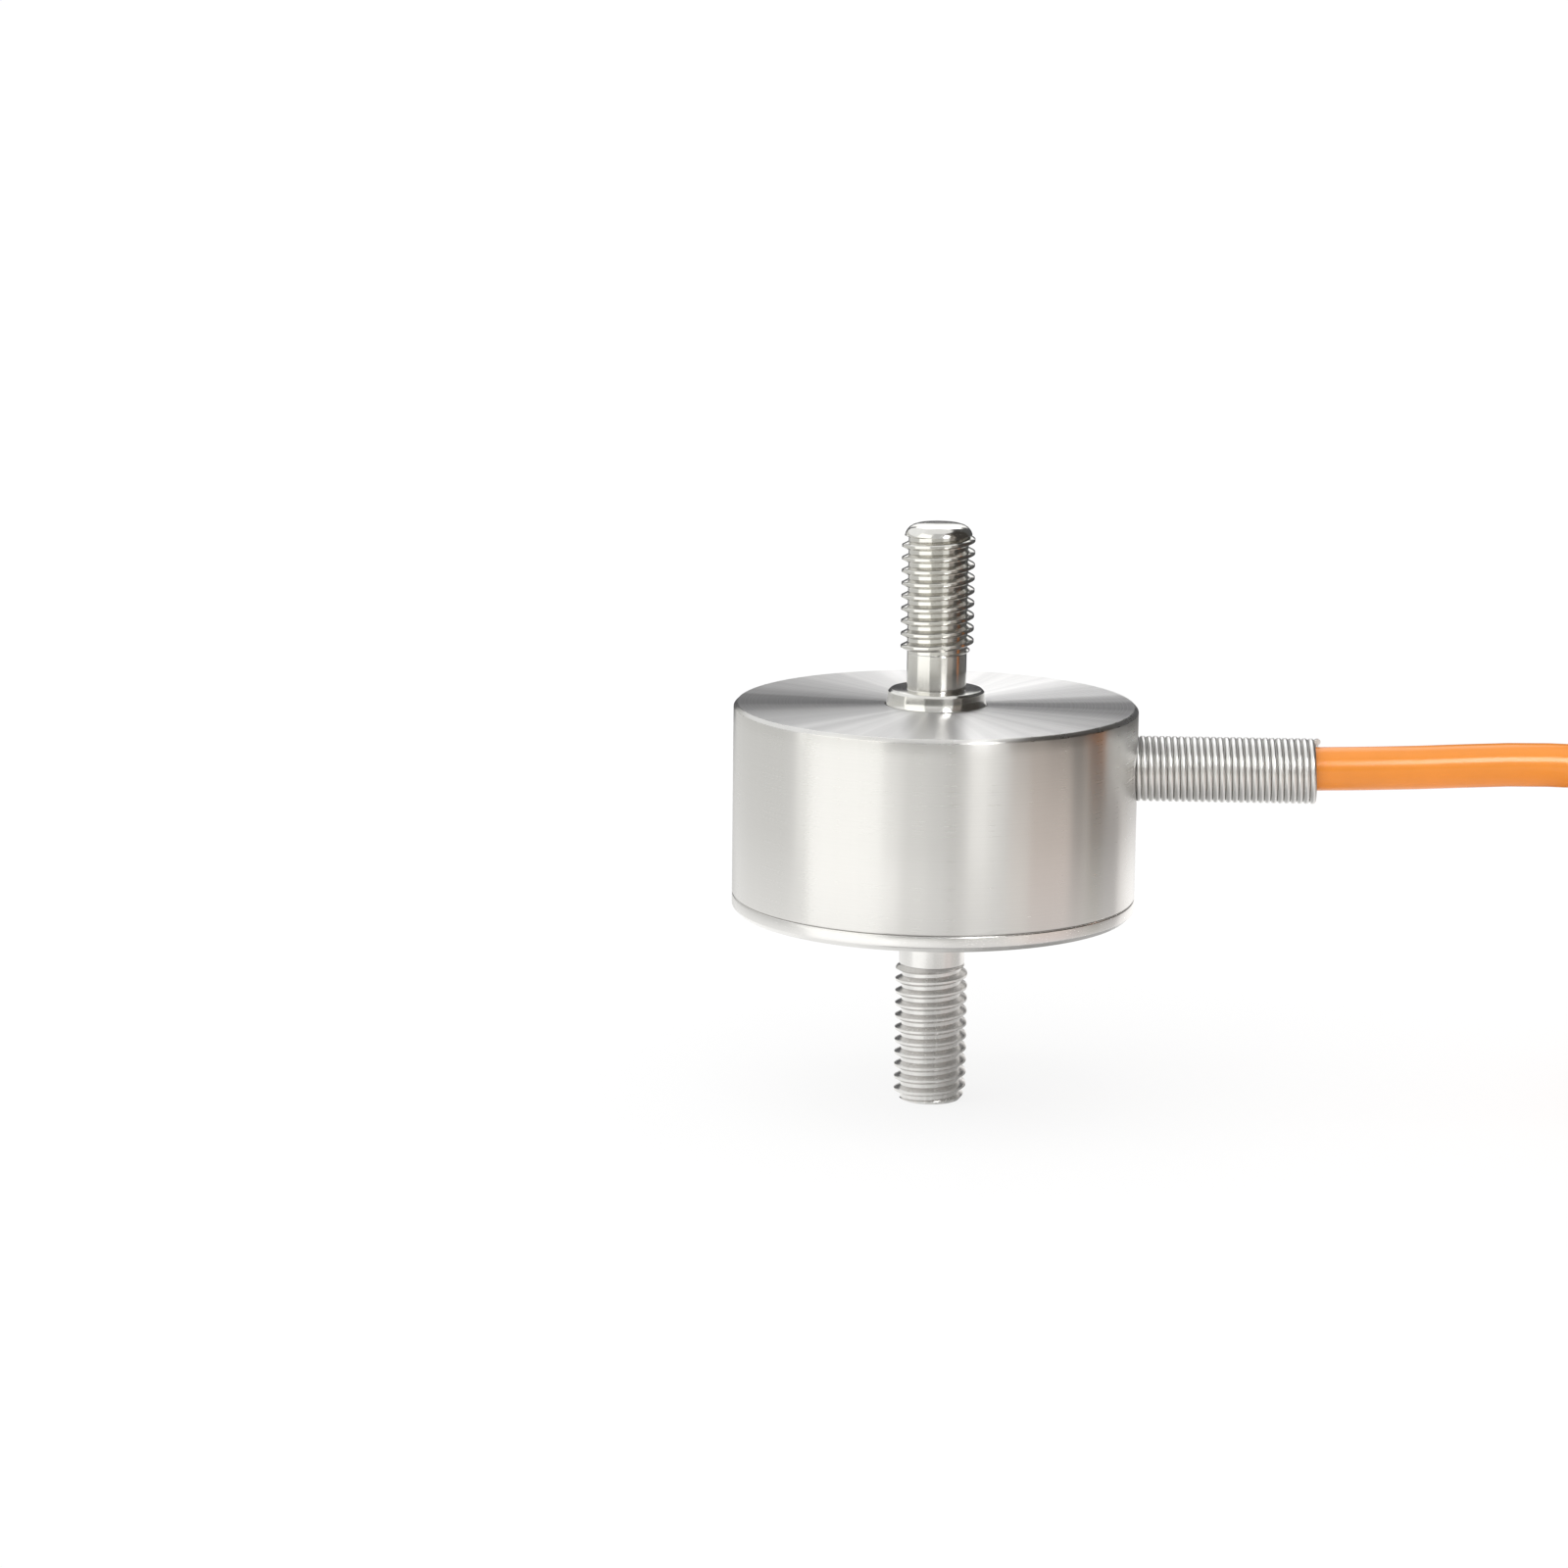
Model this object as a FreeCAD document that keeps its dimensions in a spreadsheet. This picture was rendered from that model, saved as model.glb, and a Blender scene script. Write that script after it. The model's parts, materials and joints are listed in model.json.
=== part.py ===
"""Miniature force sensor: a turned can between two threaded studs, with a cable out of its side.

Millimetres, +Z up. The origin is the centre of the base face, which is the underside of the base plate.
The cable leaves along +X. Its spare length is a tied hank on the level of the lower stud's tip.
"""
import FreeCAD
import Part
import Sketcher

import math
import os
import re

Vector = FreeCAD.Vector
doc = FreeCAD.newDocument("force_sensor")
sheet = doc.addObject("Spreadsheet::Sheet", "Sizes")

# Driving sizes, each set once
SIZES = {
    # Housing and base plate
    "body_dia": 32.0,
    "body_height": 16.6,
    "wall": 2.5,
    "top_thick": 2.0,
    "top_chamfer": 0.3,
    "flange_thick": 1.3,
    "seam_chamfer": 0.09,
    "base_chamfer": 0.4,
    "shoulder_step": 0.9,
    "seat_height": 4.5,
    "seat_width": 2.4,
    "base_thick": 3.2,
    "slip": 0.05,
    # Seal between the base plate's spigot and the housing
    "seal_dia": 0.9,
    "seal_height": 2.6,
    "seal_room": 0.1,
    # Studs
    "thread_dia": 6.0,
    "thread_start": 0.4,
    "upper_neck_dia": 4.7,
    "upper_neck_len": 2.9,
    "upper_thread_len": 10.3,
    "upper_tip_chamfer": 1.1,
    "lower_neck_dia": 5.2,
    "lower_neck_len": 4.9,
    "lower_thread_len": 10.6,
    "lower_tip_chamfer": 0.6,
    # Sensing element
    "hub_dia": 8.0,
    "hub_foot": 0.7,
    "collar_rise": 1.2,
    "collar_chamfer": 0.2,
    "collar_taper": 0.2,
    "ring_wall": 2.4,
    "ring_height": 3.5,
    "plate_thick": 1.4,
    "plate_drop": 1.0,
    "spoke_hole_dia": 5.4,
    "spoke_hole_reach": 7.5,
    # Gauges and their leads
    "gauge_len": 4.0,
    "gauge_width": 2.6,
    "gauge_thick": 0.1,
    "gauge_reach": 7.4,
    "gauge_lead_dia": 0.25,
    "gauge_lead_spread": 0.8,
    "gauge_lead_reach": 8.6,
    "gauge_lead_stub": 0.3,
    # Terminal board and its resistors
    "board_thick": 0.8,
    "board_bore": 13.0,
    "board_room": 0.15,
    "board_hole_dia": 0.7,
    "chip_len": 2.0,
    "chip_width": 1.25,
    "chip_thick": 0.6,
    "chip_margin": 3.05,
    # Cable, nipple and strain relief
    "cable_dia": 3.5,
    "cable_over_board": 0.65,
    "jacket_inside": 2.2,
    "core_dia": 0.9,
    "core_spread": 0.6,
    "core_near": 1.4,
    "core_far": 2.9,
    "nipple_dia": 5.4,
    "nipple_len": 2.0,
    "nipple_neck_len": 3.4,
    "ferrule_wall": 0.4,
    "ferrule_len": 1.5,
    "spring_dia": 5.2,
    "spring_wire": 0.5,
    "spring_pitch": 0.51,
    # Hank of spare cable, its tie and its stripped end
    "hank_start": 58.0,
    "hank_run": 31.6,
    "hank_fold": 10.5,
    "hank_columns": 3.0,
    "hank_layers": 3.0,
    "hank_round": 1.7,
    "tie_width": 4.0,
    "tie_thick": 0.6,
    "tie_corner": 0.9,
    "tie_shoulder": 0.9,
    "tie_head_len": 4.4,
    "tie_head_rise": 2.6,
    "tie_end_rise": 1.1,
    "tie_end_len": 2.4,
    "tie_end_width": 2.6,
    "tie_inset": 2.0,
    "tail_len": 12.0,
    "sleeve_wall": 0.35,
    "sleeve_len": 11.0,
    "sleeve_lap": 6.0,
    "sleeve_mouth": 2.8,
    "sleeve_taper": 1.5,
    "lead_len": 18.0,
    "lead_straight": 6.5,
    "lead_fan": 1.6,
    "lead_lift": 1.1,
    "drain_dia": 0.45,
    "tip_dia": 0.6,
    "tip_len": 4.0,
}

# Radii, levels and stations that follow from the driving sizes
PLACES = {
    "body_r": "body_dia / 2",
    "bore_r": "body_r - wall",
    "ring_r": "bore_r - slip",
    "ring_inner_r": "ring_r - ring_wall",
    "upper_bore_r": "bore_r - shoulder_step",
    "hub_r": "hub_dia / 2",
    "thread_r": "thread_dia / 2",
    "seal_groove_r": "ring_r - seal_dia",
    "seal_bottom": "seal_height - seal_dia / 2 - seal_room",
    "seal_top": "seal_height + seal_dia / 2 + seal_room",
    "ring_top": "seat_height + ring_height",
    "plate_top": "ring_top - plate_drop",
    "plate_bottom": "plate_top - plate_thick",
    "board_top": "ring_top + board_thick",
    "board_r": "upper_bore_r - board_room",
    "chip_reach": "board_r - chip_margin",
    "collar_top": "body_height + collar_rise",
    "upper_thread_foot": "collar_top + upper_neck_len",
    "upper_tip": "upper_thread_foot + upper_thread_len",
    "floor_level": "-(lower_neck_len + lower_thread_len)",
    "cable_r": "cable_dia / 2",
    "ferrule_r": "cable_r + slip + ferrule_wall",
    "cable_height": "board_top + ferrule_r + cable_over_board",
    "spring_r": "spring_dia / 2",
    "spring_inner_r": "spring_r - spring_wire",
    "spring_root_r": "spring_r - spring_wire / 2",
    "spring_seat": "upper_bore_r + nipple_len",
    "cable_inner_end": "upper_bore_r - jacket_inside",
    "fold_inner_r": "hank_fold - cable_r",
    "fold_outer_r": "fold_inner_r + hank_columns * cable_dia",
    "fold_middle_r": "(fold_inner_r + fold_outer_r) / 2",
    "hank_half_run": "hank_run / 2",
    "hank_near_x": "hank_start + fold_outer_r",
    "hank_far_x": "hank_near_x + hank_run",
    "hank_bottom": "floor_level + tie_thick",
    "hank_height": "hank_layers * cable_dia",
    "hank_top": "hank_bottom + hank_height",
    "tail_level": "hank_top + cable_r + sleeve_wall",
    "tail_end": "hank_far_x - tail_len",
    "sleeve_start": "tail_end + sleeve_lap",
    "tie_x": "hank_far_x - tie_inset",
    "tie_top": "tail_level + cable_r",
}

SPRING_TURNS = 31
BEND_SHARE = 0.45
CORNER_SHARE = 0.4
LEVEL_TOLERANCE = 0.001
CORE_COLOURS = ("red", "black", "green", "white")

for row, (alias, number) in enumerate(SIZES.items(), start=1):
    sheet.set(f"A{row}", alias)
    sheet.set(f"B{row}", str(number))
    sheet.setAlias(f"B{row}", alias)
for row, (alias, formula) in enumerate(PLACES.items(), start=1):
    sheet.set(f"D{row}", alias)
    sheet.set(f"E{row}", "=" + formula)
    sheet.setAlias(f"E{row}", alias)
doc.recompute()


def words(text):
    """An expression in the sheet's aliases, with the sheet's name put before each of them."""
    return re.sub(r"[a-z][a-z_]*", lambda found: "Sizes." + found.group(0), text)


def size(alias):
    """The present value of one of the sheet's cells."""
    return float(sheet.get(alias))


def origin_feature(body, role):
    """One of a body's own origin planes or axes."""
    return next(each for each in body.Origin.OriginFeatures if each.Role == role)


def new_body(label):
    """An empty body whose label names its file."""
    body = doc.addObject("PartDesign::Body", label)
    body.Label = label
    return body


def new_sketch(body, name, role):
    """A sketch on one of the body's origin planes."""
    sketch = body.newObject("Sketcher::SketchObject", name)
    sketch.AttachmentSupport = [(origin_feature(body, role), "")]
    sketch.MapMode = "FlatFace"
    return sketch


def bind(sketch, constraint, text):
    """Add a constraint to a sketch and bind its value to the sheet."""
    index = sketch.addConstraint(constraint)
    sketch.setExpression(f"Constraints[{index}]", words(text))


def pin_point(sketch, geometry, position, across, up, start=(1.0, 1.0)):
    """Hold one point of a sketch at two expressions from the sketch's origin."""
    bind(sketch, Sketcher.Constraint("DistanceX", -1, 1, geometry, position, start[0]), across)
    bind(sketch, Sketcher.Constraint("DistanceY", -1, 1, geometry, position, start[1]), up)


def outline(sketch, corners):
    """A closed outline through corners, each a pair of expressions."""
    count = len(corners)
    start = [Vector(math.cos(math.tau * k / count), math.sin(math.tau * k / count), 0) for k in range(count)]
    first = sketch.GeometryCount
    for k in range(count):
        sketch.addGeometry(Part.LineSegment(start[k], start[(k + 1) % count]), False)
    for k in range(count):
        following = first + (k + 1) % count
        sketch.addConstraint(Sketcher.Constraint("Coincident", first + k, 2, following, 1))
    for k, (across, up) in enumerate(corners):
        pin_point(sketch, first + k, 1, across, up)


def circle(sketch, across, up, radius):
    """A circle whose centre and radius are expressions."""
    index = sketch.addGeometry(Part.Circle(Vector(1, 1, 0), Vector(0, 0, 1), 0.5), False)
    pin_point(sketch, index, 3, across, up)
    bind(sketch, Sketcher.Constraint("Radius", index, 0.5), radius)


def turned(label, corners):
    """A body turned about Z from an outline of (radius, height) corners."""
    body = new_body(label)
    sketch = new_sketch(body, label + "_profile", "XZ_Plane")
    outline(sketch, corners)
    turn = body.newObject("PartDesign::Revolution", label + "_turn")
    turn.Profile = sketch
    turn.ReferenceAxis = (sketch, ["V_Axis"])
    turn.Angle = 360.0
    body.Tip = turn
    doc.recompute()
    return body


def pad(body, name, sketch, length, midplane=False):
    """A pad of a given length from a sketch."""
    feature = body.newObject("PartDesign::Pad", name)
    feature.Profile = sketch
    feature.setExpression("Length", words(length))
    feature.Midplane = midplane
    body.Tip = feature
    doc.recompute()
    return feature


def pocket(body, name, sketch, length):
    """A pocket of a given length from a sketch, cut along the sketch plane's normal."""
    before = body.Shape.Volume
    feature = body.newObject("PartDesign::Pocket", name)
    feature.Profile = sketch
    feature.setExpression("Length", words(length))
    feature.Reversed = True
    body.Tip = feature
    doc.recompute()
    print(f"{name} takes {before - body.Shape.Volume:.2f} mm3")
    return feature


def around_z(body, feature, count):
    """Repeat a feature evenly round the body's Z axis."""
    pattern = body.newObject("PartDesign::PolarPattern", feature.Name + "_pattern")
    pattern.Originals = [feature]
    pattern.Axis = (origin_feature(body, "Z_Axis"), [""])
    pattern.Angle = 360.0
    pattern.Occurrences = count
    body.Tip = pattern
    doc.recompute()
    return pattern


def place(piece, across="0", along="0", up="0", rotation=FreeCAD.Rotation()):
    """Set a piece's rotation and bind its base point to the sheet."""
    piece.Placement = FreeCAD.Placement(Vector(), rotation)
    for axis, text in zip("xyz", (across, along, up)):
        piece.setExpression(f"Placement.Base.{axis}", words(text))


TOWARDS_X = FreeCAD.Rotation(Vector(0, 1, 0), 90)
TOWARDS_MINUS_X = FreeCAD.Rotation(Vector(0, 1, 0), -90)


def rounded_route(points):
    """A wire of straight runs joined by tangent arcs, and the arcs' radii."""
    edges = []
    radii = []
    start = points[0]
    for before, corner, after in zip(points, points[1:], points[2:]):
        come = Vector(corner - before)
        leave = Vector(after - corner)
        half_turn = come.getAngle(leave) / 2
        reach = BEND_SHARE * min(come.Length, leave.Length)
        radius = reach / math.tan(half_turn)
        come.normalize()
        leave.normalize()
        inward = Vector(leave - come).normalize()
        middle = corner + inward * (radius / math.cos(half_turn) - radius)
        edges.append(Part.LineSegment(start, corner - come * reach).toShape())
        edges.append(Part.Arc(corner - come * reach, middle, corner + leave * reach).toShape())
        start = corner + leave * reach
        radii.append(radius)
    edges.append(Part.LineSegment(start, points[-1]).toShape())
    return Part.Wire(edges), radii


def tube(label, points, diameter):
    """A round solid along a rounded route."""
    wire, radii = rounded_route(points)
    ring = Part.Wire(Part.makeCircle(diameter / 2, points[0], points[1] - points[0]))
    solid = wire.makePipeShell([ring], True, False)
    section = math.pi * diameter ** 2 / 4
    share = solid.Volume / (section * wire.Length)
    bends = ", ".join(f"{radius:.1f}" for radius in radii)
    print(f"{label}: {wire.Length:.1f} mm, radii {bends}, volume {share:.4f} of section times length")
    feature = doc.addObject("Part::Feature", label)
    feature.Label = label
    feature.Shape = solid
    return feature


# Housing: a can, open below, with a hole for the hub in its top and a bore for the nipple in its side
housing = turned("housing", [
    ("bore_r", "flange_thick"),
    ("body_r - seam_chamfer", "flange_thick"),
    ("body_r", "flange_thick + seam_chamfer"),
    ("body_r", "body_height - top_chamfer"),
    ("body_r - top_chamfer", "body_height"),
    ("hub_r + slip", "body_height"),
    ("hub_r + slip", "body_height - top_thick"),
    ("upper_bore_r", "body_height - top_thick"),
    ("upper_bore_r", "ring_top + slip"),
    ("bore_r", "ring_top + slip"),
])
side_bore_sketch = new_sketch(housing, "side_bore_sketch", "YZ_Plane")
circle(side_bore_sketch, "0", "cable_height", "nipple_dia / 2 + slip")
pocket(housing, "side_bore", side_bore_sketch, "body_dia")

# Base plate: the flange below the seam, a spigot that enters the housing, and the lower stud
turned("base_plate", [
    ("0", "floor_level"),
    ("thread_r - lower_tip_chamfer", "floor_level"),
    ("thread_r", "floor_level + lower_tip_chamfer"),
    ("thread_r", "-(lower_neck_len + thread_start)"),
    ("lower_neck_dia / 2", "-lower_neck_len"),
    ("lower_neck_dia / 2", "0"),
    ("body_r - base_chamfer", "0"),
    ("body_r", "base_chamfer"),
    ("body_r", "flange_thick - seam_chamfer"),
    ("body_r - seam_chamfer", "flange_thick"),
    ("ring_r", "flange_thick"),
    ("ring_r", "seal_bottom"),
    ("seal_groove_r", "seal_bottom"),
    ("seal_groove_r", "seal_top"),
    ("ring_r", "seal_top"),
    ("ring_r", "seat_height"),
    ("ring_r - seat_width", "seat_height"),
    ("ring_r - seat_width", "base_thick"),
    ("0", "base_thick"),
])

# Seal: a ring of round section in the spigot's groove
seal = doc.addObject("Part::Torus", "base_seal")
seal.Label = "base_seal"
seal.setExpression("Radius1", words("seal_groove_r + seal_dia / 2"))
seal.setExpression("Radius2", words("seal_dia / 2"))
place(seal, up="seal_height")

# Sensing element: upper stud, collar hub, drilled diaphragm and outer ring, all of one piece
element = turned("sensing_element", [
    ("0", "plate_bottom - hub_foot"),
    ("hub_r", "plate_bottom - hub_foot"),
    ("hub_r", "plate_bottom"),
    ("ring_inner_r", "plate_bottom"),
    ("ring_inner_r", "seat_height"),
    ("ring_r", "seat_height"),
    ("ring_r", "ring_top"),
    ("ring_inner_r", "ring_top"),
    ("ring_inner_r", "plate_top"),
    ("hub_r", "plate_top"),
    ("hub_r", "body_height"),
    ("hub_r - collar_taper", "collar_top - collar_chamfer"),
    ("hub_r - collar_taper - collar_chamfer", "collar_top"),
    ("upper_neck_dia / 2", "collar_top"),
    ("upper_neck_dia / 2", "upper_thread_foot"),
    ("thread_r", "upper_thread_foot + thread_start"),
    ("thread_r", "upper_tip - upper_tip_chamfer"),
    ("thread_r - upper_tip_chamfer", "upper_tip"),
    ("0", "upper_tip"),
])
spoke_hole_sketch = new_sketch(element, "spoke_hole_sketch", "XY_Plane")
circle(spoke_hole_sketch, "spoke_hole_reach", "0", "spoke_hole_dia / 2")
spoke_hole = pocket(element, "spoke_hole", spoke_hole_sketch, "ring_top")
around_z(element, spoke_hole, 4)

# Strain gauges: one on each spoke, midway between the drilled holes
GAUGE_ANGLES = (45, 135, 225, 315)
for number, angle in enumerate(GAUGE_ANGLES, start=1):
    gauge = doc.addObject("Part::Box", f"strain_gauge_{number}")
    gauge.Label = f"strain_gauge_{number}"
    gauge.setExpression("Length", words("gauge_len"))
    gauge.setExpression("Width", words("gauge_width"))
    gauge.setExpression("Height", words("gauge_thick"))
    corner = Vector(size("gauge_reach") - size("gauge_len") / 2, -size("gauge_width") / 2, size("plate_top"))
    turn = FreeCAD.Rotation(Vector(0, 0, 1), angle)
    gauge.Placement = FreeCAD.Placement(turn.multVec(corner), turn)

# Terminal board: a ring that lies on the sensing element's rim, with a pair of lead holes over each gauge
board = new_body("terminal_board")
board_sketch = new_sketch(board, "board_sketch", "XY_Plane")
circle(board_sketch, "0", "0", "board_r")
circle(board_sketch, "0", "0", "board_bore / 2")
pad(board, "board_plate", board_sketch, "board_thick")
lead_hole_sketch = new_sketch(board, "lead_hole_sketch", "XY_Plane")
circle(lead_hole_sketch, "gauge_lead_reach", "gauge_lead_spread", "board_hole_dia / 2")
circle(lead_hole_sketch, "gauge_lead_reach", "-gauge_lead_spread", "board_hole_dia / 2")
lead_hole = pocket(board, "lead_hole", lead_hole_sketch, "board_thick")
around_z(board, lead_hole, len(GAUGE_ANGLES))
place(board, up="ring_top", rotation=FreeCAD.Rotation(Vector(0, 0, 1), GAUGE_ANGLES[0]))

# Gauge leads: two fine wires from each gauge up through the board
lead_foot = size("plate_top") + size("gauge_thick")
lead_rise = size("board_top") + size("gauge_lead_stub") - lead_foot
wires = []
for angle in GAUGE_ANGLES:
    turn = FreeCAD.Rotation(Vector(0, 0, 1), angle)
    for side in (-1, 1):
        foot = Vector(size("gauge_lead_reach"), side * size("gauge_lead_spread"), lead_foot)
        wires.append(Part.makeCylinder(size("gauge_lead_dia") / 2, lead_rise, turn.multVec(foot)))
gauge_leads = doc.addObject("Part::Feature", "gauge_leads")
gauge_leads.Label = "gauge_leads"
gauge_leads.Shape = Part.makeCompound(wires)

# Trim resistors: three chips on the board, away from the cable cores
for number, angle in enumerate((90, 180, 270), start=1):
    chip = doc.addObject("Part::Box", f"trim_resistor_{number}")
    chip.Label = f"trim_resistor_{number}"
    chip.setExpression("Length", words("chip_width"))
    chip.setExpression("Width", words("chip_len"))
    chip.setExpression("Height", words("chip_thick"))
    corner = Vector(size("chip_reach") - size("chip_width") / 2, -size("chip_len") / 2, size("board_top"))
    turn = FreeCAD.Rotation(Vector(0, 0, 1), angle)
    chip.Placement = FreeCAD.Placement(turn.multVec(corner), turn)

# Cable nipple: pressed into the housing's side bore, with a neck that carries the spring
nipple = turned("cable_nipple", [
    ("cable_r + slip", "upper_bore_r"),
    ("nipple_dia / 2", "upper_bore_r"),
    ("nipple_dia / 2", "spring_seat"),
    ("spring_inner_r - slip", "spring_seat"),
    ("spring_inner_r - slip", "spring_seat + nipple_neck_len"),
    ("cable_r + slip", "spring_seat + nipple_neck_len"),
])
place(nipple, up="cable_height", rotation=TOWARDS_X)

# Crimp ferrule: on the cable jacket behind the nipple, so that the cable can't be pulled out
ferrule = turned("cable_ferrule", [
    ("cable_r + slip", "upper_bore_r - ferrule_len"),
    ("ferrule_r", "upper_bore_r - ferrule_len"),
    ("ferrule_r", "upper_bore_r"),
    ("cable_r + slip", "upper_bore_r"),
])
place(ferrule, up="cable_height", rotation=TOWARDS_X)

# Spring strain relief: a close-wound coil whose turns touch, one ridge a turn
coil_corners = [("spring_inner_r", f"spring_seat + {SPRING_TURNS} * spring_pitch")]
coil_corners.append(("spring_inner_r", "spring_seat"))
for turn_number in range(SPRING_TURNS):
    coil_corners.append(("spring_root_r", f"spring_seat + {turn_number} * spring_pitch"))
    coil_corners.append(("spring_r", f"spring_seat + {turn_number + 0.5} * spring_pitch"))
coil_corners.append(("spring_root_r", f"spring_seat + {SPRING_TURNS} * spring_pitch"))
spring = turned("spring_strain_relief", coil_corners)
place(spring, up="cable_height", rotation=TOWARDS_X)

# Cable: out of the nipple and the spring, then over to the top of the hank
CABLE_ROUTE = [
    Vector(size("cable_inner_end"), 0, size("cable_height")),
    Vector(31.2, 0, size("cable_height")),
    Vector(52.5, 0, 12.93),
    Vector(64.5, -2.6, 10.4),
    Vector(76.0, -7.4, 5.4),
    Vector(88.0, -11.9, 0.6),
    Vector(99.0, -13.8, -2.0),
    Vector(107.0, -size("fold_middle_r"), size("hank_top") + size("cable_r")),
]
tube("cable_run", CABLE_ROUTE, size("cable_dia"))

# Cable cores: from the jacket's inner end down to the board
CORE_SIDES = {"red": (-1, 1), "black": (-1, -1), "green": (1, -1), "white": (1, 1)}
for colour in CORE_COLOURS:
    side, level = CORE_SIDES[colour]
    reach = size("core_far") if level > 0 else size("core_near")
    start = Vector(
        size("cable_inner_end"),
        side * size("core_spread"),
        size("cable_height") + level * size("core_spread"),
    )
    bend = start - Vector(reach, 0, 0)
    tube(f"core_{colour}", [start, bend, Vector(bend.x, bend.y, size("board_top"))], size("core_dia"))


def slot(sketch, half_length, radius):
    """A round-ended slot about the sketch's origin, along its X axis, from two of the sheet's aliases."""
    top = sketch.GeometryCount
    bottom, far, near = top + 1, top + 2, top + 3
    upright = Vector(0, 0, 1)
    reach, r = size(half_length), size(radius)
    far_circle = Part.Circle(Vector(reach, 0, 0), upright, r)
    near_circle = Part.Circle(Vector(-reach, 0, 0), upright, r)
    sketch.addGeometry(Part.LineSegment(Vector(-reach, r, 0), Vector(reach, r, 0)), False)
    sketch.addGeometry(Part.LineSegment(Vector(-reach, -r, 0), Vector(reach, -r, 0)), False)
    sketch.addGeometry(Part.ArcOfCircle(far_circle, -math.pi / 2, math.pi / 2), False)
    sketch.addGeometry(Part.ArcOfCircle(near_circle, math.pi / 2, 3 * math.pi / 2), False)
    joins = ((top, 2, far, 2), (top, 1, near, 1), (bottom, 2, far, 1), (bottom, 1, near, 2))
    for line, line_end, arc, arc_end in joins:
        sketch.addConstraint(Sketcher.Constraint("Tangent", line, line_end, arc, arc_end))
    sketch.addConstraint(Sketcher.Constraint("Equal", far, near))
    pin_point(sketch, far, 3, half_length, "0", (reach, 0.0))
    pin_point(sketch, near, 3, "-" + half_length, "0", (-reach, 0.0))
    bind(sketch, Sketcher.Constraint("Radius", far, r), radius)


# Hank: the outer form of the spare cable, folded back and forth and laid in columns and layers
hank = new_body("cable_hank")
hank_sketch = new_sketch(hank, "hank_sketch", "XY_Plane")
slot(hank_sketch, "hank_half_run", "fold_outer_r")
slot(hank_sketch, "hank_half_run", "fold_inner_r")
hank_pad = pad(hank, "hank_turns", hank_sketch, "hank_height")
rounding = hank.newObject("PartDesign::Fillet", "hank_rounding")
level_edges = [
    f"Edge{number}"
    for number, edge in enumerate(hank_pad.Shape.Edges, start=1)
    if abs(edge.BoundBox.ZLength) < LEVEL_TOLERANCE
]
rounding.Base = (hank_pad, level_edges)
rounding.setExpression("Radius", words("hank_round"))
hank.Tip = rounding
place(hank, across="hank_near_x + hank_half_run", up="hank_bottom")

# Tie: a band drawn round one run of the hank and the cable's tail, its head on top and its end cut short
tie = new_body("hank_tie")
band_sketch = new_sketch(tie, "band_sketch", "YZ_Plane")
for grow in ("0", "tie_thick"):
    share = f"{CORNER_SHARE} * {grow}"
    outline(band_sketch, [
        (f"fold_inner_r + tie_corner - {share}", f"hank_bottom - {grow}"),
        (f"fold_outer_r - tie_corner + {share}", f"hank_bottom - {grow}"),
        (f"fold_outer_r + {grow}", f"hank_bottom + tie_corner - {share}"),
        (f"fold_outer_r + {grow}", f"hank_top - tie_shoulder + {share}"),
        (f"fold_middle_r + cable_r + {share}", f"tie_top + {grow}"),
        (f"fold_middle_r - cable_r - {share}", f"tie_top + {grow}"),
        (f"fold_inner_r - {grow}", f"hank_top - tie_shoulder + {share}"),
        (f"fold_inner_r - {grow}", f"hank_bottom + tie_corner - {share}"),
    ])
pad(tie, "band", band_sketch, "tie_width", True)
head_sketch = new_sketch(tie, "head_sketch", "YZ_Plane")
outline(head_sketch, [
    ("fold_middle_r - tie_head_len / 2", "tie_top"),
    ("fold_middle_r + tie_head_len / 2", "tie_top"),
    ("fold_middle_r + tie_head_len / 2", "tie_top + tie_head_rise"),
    ("fold_middle_r - tie_head_len / 2", "tie_top + tie_head_rise"),
])
pad(tie, "head", head_sketch, "tie_width", True)
end_sketch = new_sketch(tie, "end_sketch", "YZ_Plane")
outline(end_sketch, [
    ("fold_middle_r + tie_head_len / 2", "tie_top + tie_end_rise"),
    ("fold_middle_r + tie_head_len / 2 + tie_end_len", "tie_top + tie_end_rise"),
    ("fold_middle_r + tie_head_len / 2 + tie_end_len", "tie_top + tie_end_rise + tie_thick"),
    ("fold_middle_r + tie_head_len / 2", "tie_top + tie_end_rise + tie_thick"),
])
pad(tie, "cut_end", end_sketch, "tie_end_width", True)
place(tie, across="tie_x - tie_width / 2")

# Tail: the cable's last straight length, on top of the hank
tail = doc.addObject("Part::Cylinder", "cable_tail")
tail.Label = "cable_tail"
tail.setExpression("Radius", words("cable_r"))
tail.setExpression("Height", words("tail_len"))
place(tail, "hank_far_x", "fold_middle_r", "tail_level", TOWARDS_MINUS_X)

# End sleeve: shrunk over the end of the jacket, and narrower where the leads come out
sleeve = turned("end_sleeve", [
    ("cable_r + slip", "0"),
    ("cable_r + sleeve_wall", "0"),
    ("cable_r + sleeve_wall", "sleeve_len - sleeve_taper"),
    ("sleeve_mouth / 2 + sleeve_wall", "sleeve_len"),
    ("sleeve_mouth / 2", "sleeve_len"),
    ("cable_r + slip", "sleeve_len - sleeve_taper"),
])
place(sleeve, "sleeve_start", "fold_middle_r", "tail_level", TOWARDS_MINUS_X)

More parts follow.
